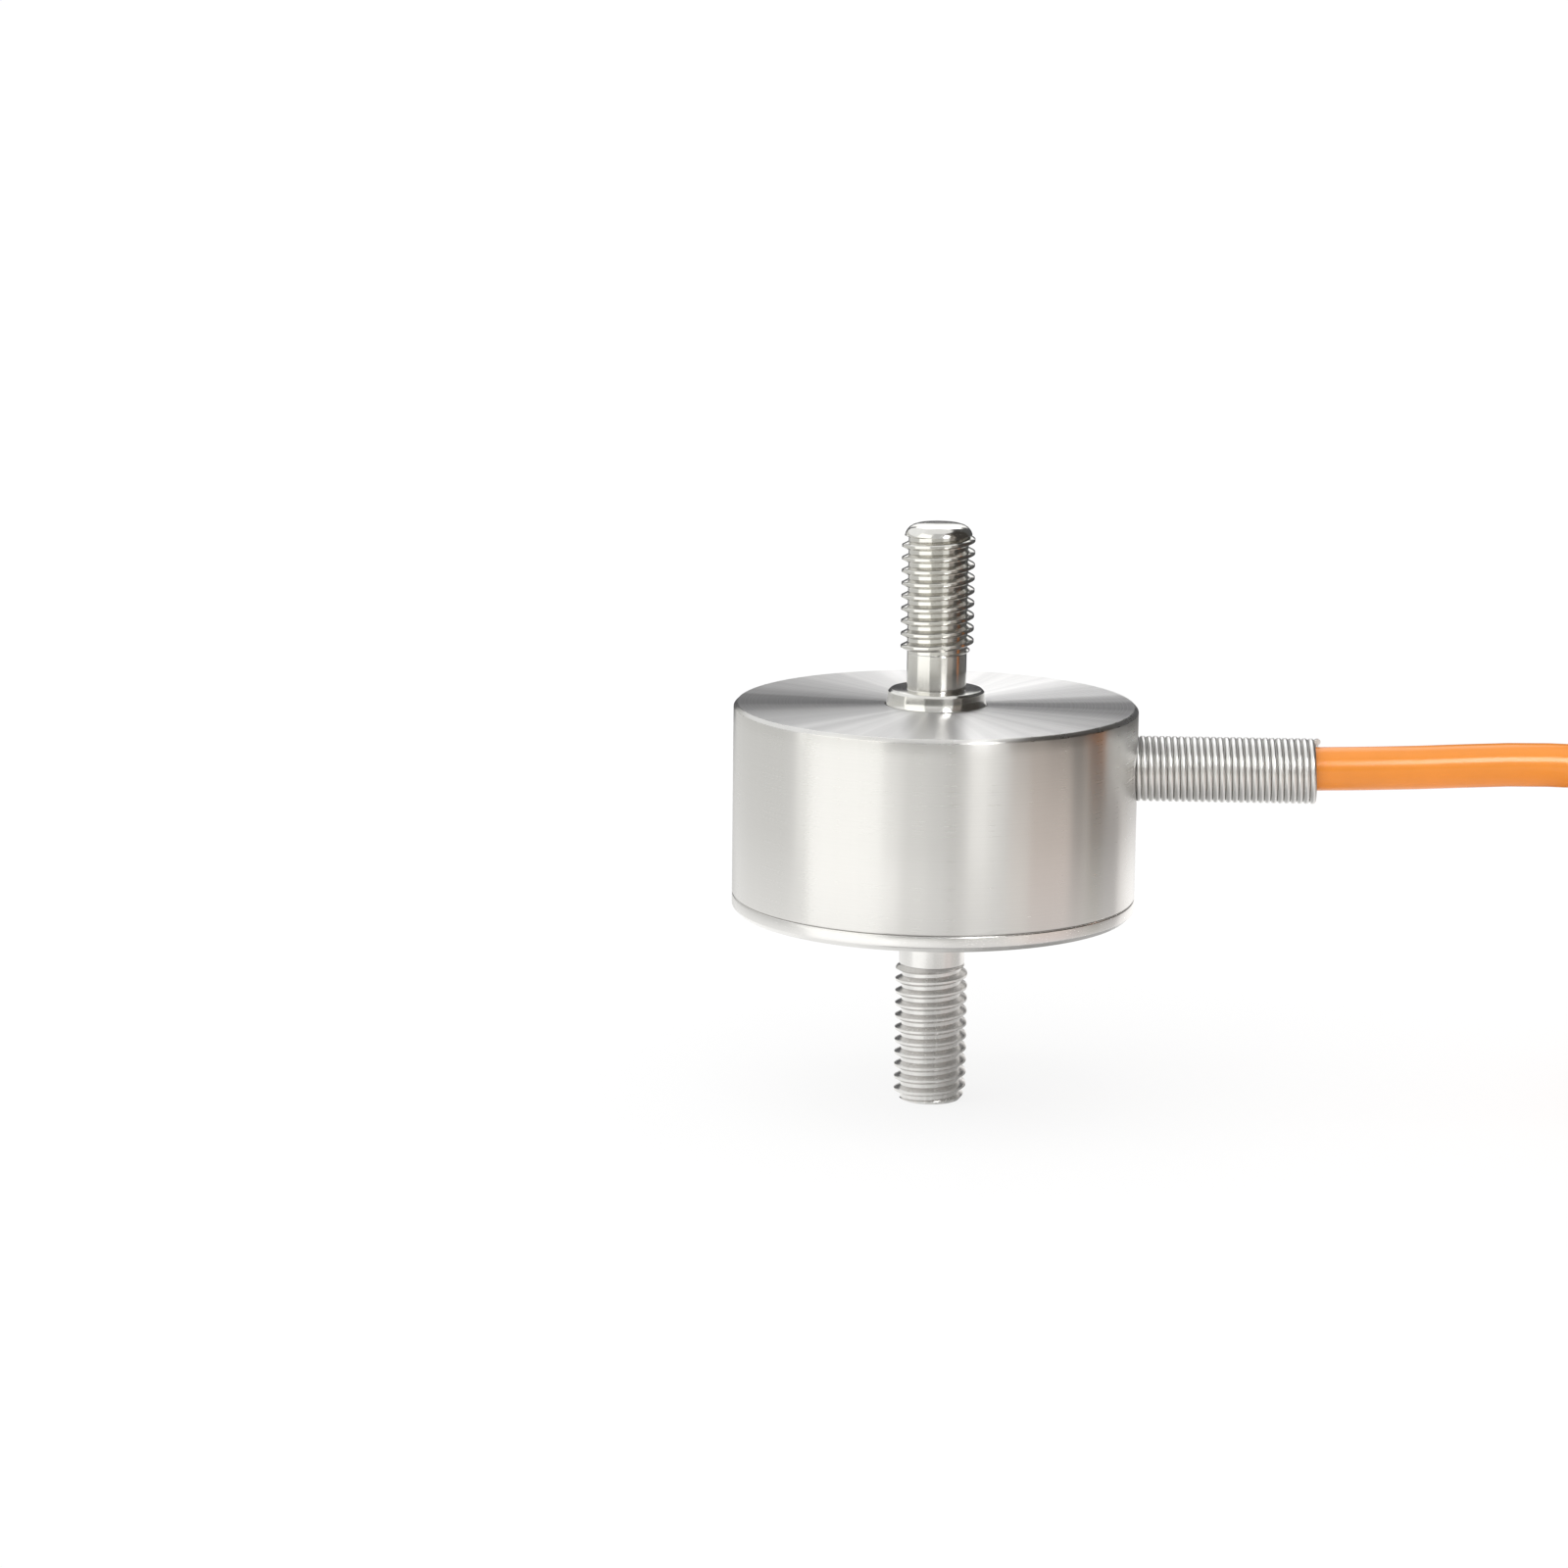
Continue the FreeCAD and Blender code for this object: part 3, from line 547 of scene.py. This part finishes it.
def feed(shader, socket, wire):
    """Link a wire to one of the shader's sockets."""
    wire.tree.links.new(wire.socket, shader.inputs[socket])


# %% [markdown]
# ### Turned steel
# A lathe leaves fine rings round the axis, on the side and on the top face alike. The sum of radius and height
# changes across the rings on both, so one noise along that sum makes them. The rings scatter light across
# themselves, which is what the shader's anisotropy is for. The surface also has faint marks that differ from
# sector to sector, so a second noise reads only the direction from the axis; its bright sectors are partly
# painted highlight streaks. A painted reflection makes the steel a little brighter towards one side.

# %% Steel finishes
# The direction from the axis towards which a painted reflection brightens the steel's colour.
PAINTED_SHEEN_SIDE = (0.7, 0.7, 0.0)
RING_SHARE, RAY_SHARE, RAY_SCALE = 0.4, 0.6, 9.0
GLOSS_LEAST, GLOSS_SWING = 0.8, 0.2


def turned_steel(name, colour, roughness, anisotropy, ring_depth, ring_scale=9000.0, spread=0.07, painted_sheen=0.03):
    """A steel finish with lathe rings about the Z axis, and a painted reflection that makes one side a little
    brighter.
    """
    material, wire, shader = new_finish(
        name, Metallic=1.0, Anisotropic=anisotropy, Anisotropic_Rotation=0.25,
    )
    place = wire.node("TexCoord", out="Object")
    apart = wire.node("SeparateXYZ", sockets={0: place})
    x, y, z = (Wire(wire.tree, apart.socket.node.outputs[axis]) for axis in "XYZ")
    across = wire.maths("SQRT", x * x + y * y) + z
    rings = wire.node("TexNoise", {"noise_dimensions": "1D"}, {
        "W": across * ring_scale, "Scale": 1.0, "Detail": 3.0,
    })
    flat = wire.node("VectorMath", {"operation": "MULTIPLY"}, {0: place, 1: (1.0, 1.0, 0.0)})
    spoke = wire.node("VectorMath", {"operation": "NORMALIZE"}, {0: flat})
    # Sector marks by direction from the axis: partly faint marks of the surface, partly painted highlight streaks
    # like the radial glints of a turned face.
    rays = wire.node("TexNoise", sockets={"Vector": spoke, "Scale": RAY_SCALE, "Detail": 3.0})
    tone = wire.node("Mix", {"data_type": "RGBA"}, {
        "Factor": rings * RING_SHARE + rays * RAY_SHARE,
        "A": (*[channel * (1 - spread) for channel in colour], 1.0),
        "B": (*[channel * (1 + spread) for channel in colour], 1.0),
    }, out=2)
    # Painted reflection: the steel's colour is made brighter towards one side.
    painted_sheen_share = wire.node("VectorMath", {"operation": "DOT_PRODUCT"}, {0: spoke, 1: PAINTED_SHEEN_SIDE}, out="Value")
    tone = wire.node("VectorMath", {"operation": "SCALE"}, {0: tone, "Scale": 1.0 + painted_sheen * painted_sheen_share})
    feed(shader, "Base Color", tone)
    feed(shader, "Roughness", roughness * (GLOSS_LEAST + GLOSS_SWING * rings + GLOSS_SWING * rays))
    bump = wire.node("Bump", sockets={"Strength": 1.0, "Distance": ring_depth * MM, "Height": rings})
    feed(shader, "Normal", bump)
    return material


STUD_COLOUR, STUD_RINGS, SPRING_RINGS = (0.73, 0.72, 0.685), 7000.0, 5000.0
housing_steel = turned_steel(
    "housing_steel", (0.69, 0.68, 0.66), roughness=0.29, anisotropy=0.9, ring_depth=0.0003,
)
# The top face has a strong painted reflection on one side, and wide tone swings whose bright sectors are partly
# painted highlight streaks.
top_steel = turned_steel(
    "top_steel", (0.65, 0.645, 0.64), roughness=0.36, anisotropy=0.9, ring_depth=0.002, spread=0.52, painted_sheen=0.25,
)
base_steel = turned_steel(
    "base_steel", (0.72, 0.71, 0.695), roughness=0.26, anisotropy=0.3, ring_depth=0.0015,
)
stud_steel = turned_steel(
    "stud_steel", STUD_COLOUR, roughness=0.155, anisotropy=0.75, ring_depth=0.0008, ring_scale=STUD_RINGS,
)
thread_steel = turned_steel(
    "thread_steel", STUD_COLOUR, roughness=0.15, anisotropy=0.0, ring_depth=0.001, ring_scale=STUD_RINGS,
)
spring_steel = turned_steel(
    "spring_steel", (0.76, 0.755, 0.74), roughness=0.38, anisotropy=0.0, ring_depth=0.001, ring_scale=SPRING_RINGS,
)
print("steel finishes made")

# %% [markdown]
# ### Cable jacket and the small parts
# The jacket is a smooth orange polyurethane with a soft gloss. The rest are plain plastics, a laminate and metals.

# %% Plastic and small-part finishes
DARKEST, PALEST = 0.9, 1.08
MOTTLE_SWING, MOTTLE_DEPTH = 0.4, 0.01


def moulded(name, colour, roughness, grain, **constants):
    """A plastic or coated finish with a slight mottle in its colour and gloss."""
    material, wire, shader = new_finish(name, **constants)
    place = wire.node("TexCoord", out="Object")
    mottle = wire.node("TexNoise", sockets={"Vector": place, "Scale": grain, "Detail": 4.0})
    tone = wire.node("Mix", {"data_type": "RGBA"}, {
        "Factor": mottle,
        "A": (*[channel * DARKEST for channel in colour], 1.0),
        "B": (*[min(1.0, channel * PALEST) for channel in colour], 1.0),
    }, out=2)
    feed(shader, "Base Color", tone)
    feed(shader, "Roughness", roughness * (GLOSS_LEAST + MOTTLE_SWING * mottle))
    bump = wire.node("Bump", sockets={"Strength": 0.4, "Distance": MOTTLE_DEPTH * MM, "Height": mottle})
    feed(shader, "Normal", bump)
    return material


FINISHES = {
    "housing_steel": housing_steel,
    "base_steel": base_steel,
    "stud_steel": stud_steel,
    "spring_steel": spring_steel,
    "cable_jacket": moulded("cable_jacket", (0.84, 0.275, 0.032), 0.2, 300.0),
    "nipple_steel": moulded("nipple_steel", (0.6, 0.6, 0.59), 0.3, 900.0, Metallic=1.0),
    "seal_rubber": moulded("seal_rubber", (0.02, 0.02, 0.02), 0.7, 900.0),
    "gauge_foil": moulded("gauge_foil", (0.6, 0.32, 0.06), 0.4, 900.0),
    "board_laminate": moulded("board_laminate", (0.03, 0.2, 0.07), 0.4, 900.0),
    "chip_body": moulded("chip_body", (0.03, 0.03, 0.035), 0.5, 900.0),
    "lead_copper": moulded("lead_copper", (0.75, 0.4, 0.22), 0.3, 900.0, Metallic=1.0),
    "core_red": moulded("core_red", (0.55, 0.02, 0.02), 0.4, 700.0),
    "core_black": moulded("core_black", (0.015, 0.015, 0.016), 0.4, 700.0),
    "core_green": moulded("core_green", (0.02, 0.26, 0.06), 0.4, 700.0),
    "core_white": moulded("core_white", (0.75, 0.75, 0.73), 0.4, 700.0),
    "tie_nylon": moulded("tie_nylon", (0.02, 0.02, 0.021), 0.45, 600.0),
    "sleeve_film": moulded("sleeve_film", (0.018, 0.018, 0.02), 0.42, 500.0),
    "tinned_copper": moulded("tinned_copper", (0.72, 0.71, 0.69), 0.28, 900.0, Metallic=1.0),
}
print(len(FINISHES), "finishes")

# %% [markdown]
# Each piece gets the finish of its slot. The can's top face and the upper thread have a steel of their own.

# %% Finishes on the pieces
UPWARD = 0.9


def coat(made, slot):
    """Give a piece the finish of a material slot."""
    made.data.materials.clear()
    made.data.materials.append(FINISHES[slot])


MADE = [
    (housing, "housing_steel"), (base, "base_steel"), (stud, "stud_steel"), (diaphragm, "stud_steel"),
    (spring, "spring_steel"), (cable, "cable_jacket"), (tie, "tie_nylon"),
]
for made, slot in MADE:
    coat(made, slot)
housing.data.materials.append(top_steel)
for face in housing.data.polygons:
    if face.normal.z > UPWARD:
        face.material_index = 1
stud.data.materials.append(thread_steel)
for face in stud.data.polygons:
    if face.center.z > NECK_TOP * MM:
        face.material_index = 1
for subpart in frame["record"]["subparts"]:
    coat(nodes[subpart["node"]], subpart["material_slot"])

# %% [markdown]

# %% [markdown]
# ## Studio
# The photograph has a plain white ground. The world is white where the camera and mirror-like surfaces look at
# it, and a little dimmer as a light. A broad key lamp above gives the soft shadow, and cards round the part, which
# only reflections see, give the steel its light and dark bands, as a photographer's cards do.

# %% Floor
FLOOR_REACH = 4.0
SHADOW_HIDDEN = 0.8


def seen_by(wire, *kinds):
    """A mask that is 1 for these kinds of ray and 0 for the others."""
    rays = wire.node("LightPath").socket.node.outputs
    mask = Wire(wire.tree, rays[kinds[0]])
    for kind in kinds[1:]:
        mask = wire.maths("MAXIMUM", mask, Wire(wire.tree, rays[kind]))
    return mask


floor_bm = bmesh.new()
floor_place = Matrix.Translation(AXIS_Z * FLOOR * MM)
bmesh.ops.create_grid(floor_bm, x_segments=1, y_segments=1, size=FLOOR_REACH, matrix=floor_place)
floor_mesh = bpy.data.meshes.new("floor")
floor_bm.to_mesh(floor_mesh)
floor_bm.free()
floor = bpy.data.objects.new("floor", floor_mesh)
scene.collection.objects.link(floor)
floor.visible_glossy = False

floor_finish = bpy.data.materials.new("floor_paper")
floor_finish.use_nodes = True
floor_tree = floor_finish.node_tree
floor_tree.nodes.clear()
paper = Wire(floor_tree)
seen = seen_by(paper, "Is Camera Ray", "Is Glossy Ray", "Is Transmission Ray")
matt = paper.node("BsdfDiffuse", sockets={"Color": (0.93, 0.93, 0.93, 1.0)})
white = paper.node("Emission", sockets={"Color": (1.0, 1.0, 1.0, 1.0), "Strength": 1.0})
shown = paper.node("MixShader", sockets={0: seen * SHADOW_HIDDEN, 1: matt, 2: white})
floor_tree.links.new(shown.socket, floor_tree.nodes.new("ShaderNodeOutputMaterial").inputs["Surface"])
floor_mesh.materials.append(floor_finish)
print("floor at", FLOOR, "mm")

# %% Key lamp and world
KEY_POWER, KEY_ANGLE = 0.75, 70
KEY_WAY = Vector((0.35, 0.45, -1.0))
WORLD_LIGHT = 0.95
sun = bpy.data.lights.new("key", "SUN")
sun.energy = KEY_POWER
sun.angle = math.radians(KEY_ANGLE)
key = bpy.data.objects.new("key", sun)
key.matrix_world = KEY_WAY.to_track_quat("-Z", "Y").to_matrix().to_4x4()
key.visible_glossy = False
scene.collection.objects.link(key)

world = bpy.data.worlds.new("studio")
world.use_nodes = True
scene.world = world
world_tree = world.node_tree
world_tree.nodes.clear()
sky = Wire(world_tree)
seen = seen_by(sky, "Is Camera Ray", "Is Glossy Ray", "Is Transmission Ray")
level = WORLD_LIGHT + (1 - WORLD_LIGHT) * seen
ground = sky.node("Background", sockets={"Color": (1.0, 1.0, 1.0, 1.0), "Strength": level})
world_tree.links.new(ground.socket, world_tree.nodes.new("ShaderNodeOutputWorld").inputs["Surface"])
print("key lamp and world made")

# %% [markdown]
# ### Cards
# Bare steel shows what stands round it, so each light or dark band on the can is a card. Lamps could make the
# light bands, but they would also light the floor and the cable, and they can't make the dark ones. A card is an
# arc swept about the axis, with a glow that is graded from its lower to its upper edge.

# %% Helpers for cards
CARD_STEPS = 24
LEAST_RISE = 0.001


def reflection_only(name, bm, low, high, low_tone, high_tone):
    """A glowing card, graded between two heights, that the camera, the lamps and dull surfaces don't see."""
    mesh = bpy.data.meshes.new(name)
    bm.to_mesh(mesh)
    bm.free()
    material = bpy.data.materials.new(name)
    material.use_nodes = True
    material.node_tree.nodes.clear()
    wire = Wire(material.node_tree)
    apart = wire.node("SeparateXYZ", sockets={0: wire.node("TexCoord", out="Object")}, out="Z")
    share = wire.node("MapRange", sockets={"Value": apart, "From Min": low * MM, "From Max": high * MM})
    tone = wire.node("Mix", {"data_type": "RGBA"}, {
        "Factor": share, "A": (*low_tone, 1.0), "B": (*high_tone, 1.0),
    }, out=2)
    glow = wire.node("Emission", sockets={"Color": tone, "Strength": 1.0})
    output = material.node_tree.nodes.new("ShaderNodeOutputMaterial")
    material.node_tree.links.new(glow.socket, output.inputs["Surface"])
    material.cycles.emission_sampling = "NONE"
    mesh.materials.append(material)
    made = bpy.data.objects.new(name, mesh)
    made.visible_camera = False
    made.visible_diffuse = False
    made.visible_transmission = False
    made.visible_shadow = False
    scene.collection.objects.link(made)


def card(name, azimuths, ends, low_tone, high_tone=None, grade=None):
    """A card swept round the part between two (radius, height) ends. Azimuths count from the camera's side."""
    bm = bmesh.new()
    first, last = (math.radians(azimuth) for azimuth in azimuths)
    outward = Vector((math.sin(first), -math.cos(first), 0))
    verts = [bm.verts.new((outward * radius + AXIS_Z * height) * MM) for radius, height in ends]
    edge = bm.edges.new(verts)
    bmesh.ops.spin(bm, geom=[*verts, edge], cent=(0, 0, 0), axis=AXIS_Z, angle=last - first, steps=CARD_STEPS)
    bmesh.ops.remove_doubles(bm, verts=bm.verts, dist=WELD)
    low, high = grade or (ends[0][1], ends[1][1] + LEAST_RISE)
    reflection_only(name, bm, low, high, low_tone, high_tone or low_tone)


# %% Low cards, far and near
RING, NEAR = 145.0, 50.0
BELOW, DEEP, STEP, HIGH = -150.0, -36.0, -8.6, 310.0
NEAR_FOOT, NEAR_SHADE, NEAR_TOP = FLOOR + 0.1, -7.0, 9.6
LOWER_RING = [
    ("low_left", (-152, -73), (1.07, 1.07, 1.06), (0.79, 0.79, 0.78)),
    ("low_soft_box", (-73, -27), (1.56, 1.56, 1.54), (1.56, 1.56, 1.54)),
    ("low_soft_edge", (-27, -18), (1.74, 1.74, 1.72), (1.74, 1.74, 1.72)),
    ("low_soft_rim", (-18, -3), (1.34, 1.34, 1.32), (1.52, 1.52, 1.5)),
    ("low_front", (-3, 7), (1.18, 1.18, 1.17), (1.26, 1.26, 1.24)),
    ("low_front_right", (7, 40), (0.98, 0.97, 0.955), (0.88, 0.87, 0.85)),
]
NEAR_RING = [
    ("near_tan_edge", (36, 47), (1.0, 0.96, 0.92), (1.12, 1.03, 0.97)),
    ("near_tan", (47, 72), (0.89, 0.79, 0.76), (0.92, 0.81, 0.71)),
    ("near_shade_line", (72, 80), (0.7, 0.65, 0.63), (0.3, 0.26, 0.22)),
    ("near_shade_gap", (80, 84), (0.78, 0.74, 0.71), (0.56, 0.5, 0.45)),
    ("near_shade", (84, 97), (0.64, 0.62, 0.58), (0.02, 0.02, 0.02)),
    ("near_right", (97, 115), (0.68, 0.66, 0.65), (0.16, 0.13, 0.11)),
    ("near_back", (115, 126), (1.2, 1.17, 1.15), (0.2, 0.17, 0.15)),
    ("near_far", (126, 168), (1.3, 1.28, 1.26), (0.2, 0.19, 0.18)),
]
for name, azimuths, low_tone, high_tone in LOWER_RING:
    card(name, azimuths, ((RING, BELOW), (RING, STEP)), low_tone, high_tone, (DEEP, STEP))
for name, azimuths, low_tone, high_tone in NEAR_RING:
    card(name, azimuths, ((NEAR, NEAR_FOOT), (NEAR, NEAR_TOP)), low_tone, high_tone, (NEAR_SHADE, NEAR_TOP))
print(len(LOWER_RING) + len(NEAR_RING), "low cards")

# %% Walls, flags and skies
FRONT_TOP, LEFT_EDGE, SKY_FOOT, BOX_TOP = 50.0, 60.0, 70.0, 190.0
BACK_EDGE, SKY_EDGE, BACK_SPLIT = 59.0, 61.0, 126.0
LINE_RING, LINE_FOOT, LINE_TOP = 141.0, 18.0, 34.0
WALLS = [
    ("low_far_right", (152, 180), BELOW, STEP, (0.3, 0.3, 0.3)),
    ("low_far_left", (180, 208), BELOW, STEP, (0.85, 0.85, 0.84)),
    ("wall_left", (-152, -79), STEP, LEFT_EDGE, (0.72, 0.72, 0.7)),
    ("flag_left", (-152, -79), LEFT_EDGE, HIGH, (1.1, 1.11, 1.12)),
    ("soft_box", (-79, -27), STEP, BOX_TOP, (1.6, 1.6, 1.55)),
    ("wall_front", (-27, 18), STEP, FRONT_TOP, (0.66, 0.65, 0.61), (0.42, 0.42, 0.4)),
    ("strip_light", (18, 37), STEP, FRONT_TOP, (1.05, 1.04, 1.0)),
    ("sky_front", (-27, 40), SKY_FOOT, HIGH, (0.65, 0.65, 0.65)),
    ("flag_near", (40, 62), STEP, HIGH, (0.34, 0.31, 0.28), (0.08, 0.07, 0.06)),
    ("flag_right", (62, 122), STEP, HIGH, (0.06, 0.055, 0.05)),
    ("wall_right", (122, 150), STEP, HIGH, (0.1, 0.1, 0.1)),
    ("wall_back", (150, 210), STEP, BACK_EDGE, (0.09, 0.09, 0.095)),
    ("flag_back_right", (150, 161), BACK_EDGE, BACK_SPLIT, (0.12, 0.12, 0.125)),
    ("sky_back", (161, 199), SKY_EDGE, BACK_SPLIT, (1.35, 1.35, 1.35)),
    ("flag_back_left", (199, 210), BACK_EDGE, BACK_SPLIT, (0.12, 0.12, 0.125)),
    ("sky_back_high", (150, 210), BACK_SPLIT, HIGH, (2.1, 2.1, 2.1)),
]
for name, azimuths, low, high, *tones in WALLS:
    card(name, azimuths, ((RING, low), (RING, high)), *tones)
card("dark_line", (-75, 60), ((LINE_RING, LINE_FOOT), (LINE_RING, LINE_TOP)), (0.04, 0.04, 0.04))
print(len(WALLS) + 1, "walls, flags and skies")

# %% Table
TABLE = FLOOR + 0.02
UNDER_R, RIGHT_R, TABLE_R = 18.0, 36.0, 50.0
TABLE_CARDS = [
    ("table_under_0", (-180, -45), 0.0, UNDER_R, (1.1, 1.1, 1.09)),
    ("table_under_1", (-45, -25), 0.0, UNDER_R, (1.0, 1.0, 0.99)),
    ("table_under_2", (-25, -8), 0.0, UNDER_R, (0.9, 0.9, 0.89)),
    ("table_under_3", (-8, 10), 0.0, UNDER_R, (0.78, 0.78, 0.77)),
    ("table_under_4", (10, 30), 0.0, UNDER_R, (0.62, 0.62, 0.61)),
    ("table_under_5", (30, 55), 0.0, UNDER_R, (0.48, 0.48, 0.47)),
    ("table_under_6", (55, 180), 0.0, UNDER_R, (0.38, 0.38, 0.37)),
    ("table_left", (-180, -25), UNDER_R, TABLE_R, (1.2, 1.2, 1.19)),
    ("table_right", (-25, 180), UNDER_R, RIGHT_R, (0.5, 0.495, 0.49)),
    ("table_beyond", (-25, 180), RIGHT_R, TABLE_R, (1.0, 0.99, 0.98)),
]
for name, azimuths, inner, outer, tone in TABLE_CARDS:
    card(name, azimuths, ((inner, TABLE), (outer, TABLE)), tone)
print(len(TABLE_CARDS), "table cards")

# %% [markdown]
# A long lamp over the cable gives the streak of light along its jacket. It is one more card, but a flat one, and
# it hangs where the steel doesn't mirror it.

# %% Lamp over the cable
LAMP_AT = Vector((61, -112, 104))
LAMP_TILT = math.radians(50)
LAMP_HALF_WIDTH, LAMP_HALF_LENGTH = 18, 30
LAMP_GLOW = (12.0, 12.0, 12.0)
lamp_bm = bmesh.new()
lamp_place = Matrix.Translation(LAMP_AT * MM) @ Matrix.Rotation(LAMP_TILT, 4, "X")
lamp_size = Matrix.Diagonal((LAMP_HALF_WIDTH * MM, LAMP_HALF_LENGTH * MM, 1.0, 1.0))
bmesh.ops.create_grid(lamp_bm, x_segments=1, y_segments=1, size=1.0, matrix=lamp_place @ lamp_size)
reflection_only("lamp_over_cable", lamp_bm, 0, HIGH, LAMP_GLOW, LAMP_GLOW)
print("lamp over the cable made")

# %% [markdown]
# ## The end

# %% View transform, and the end
scene.view_settings.view_transform = "Standard"
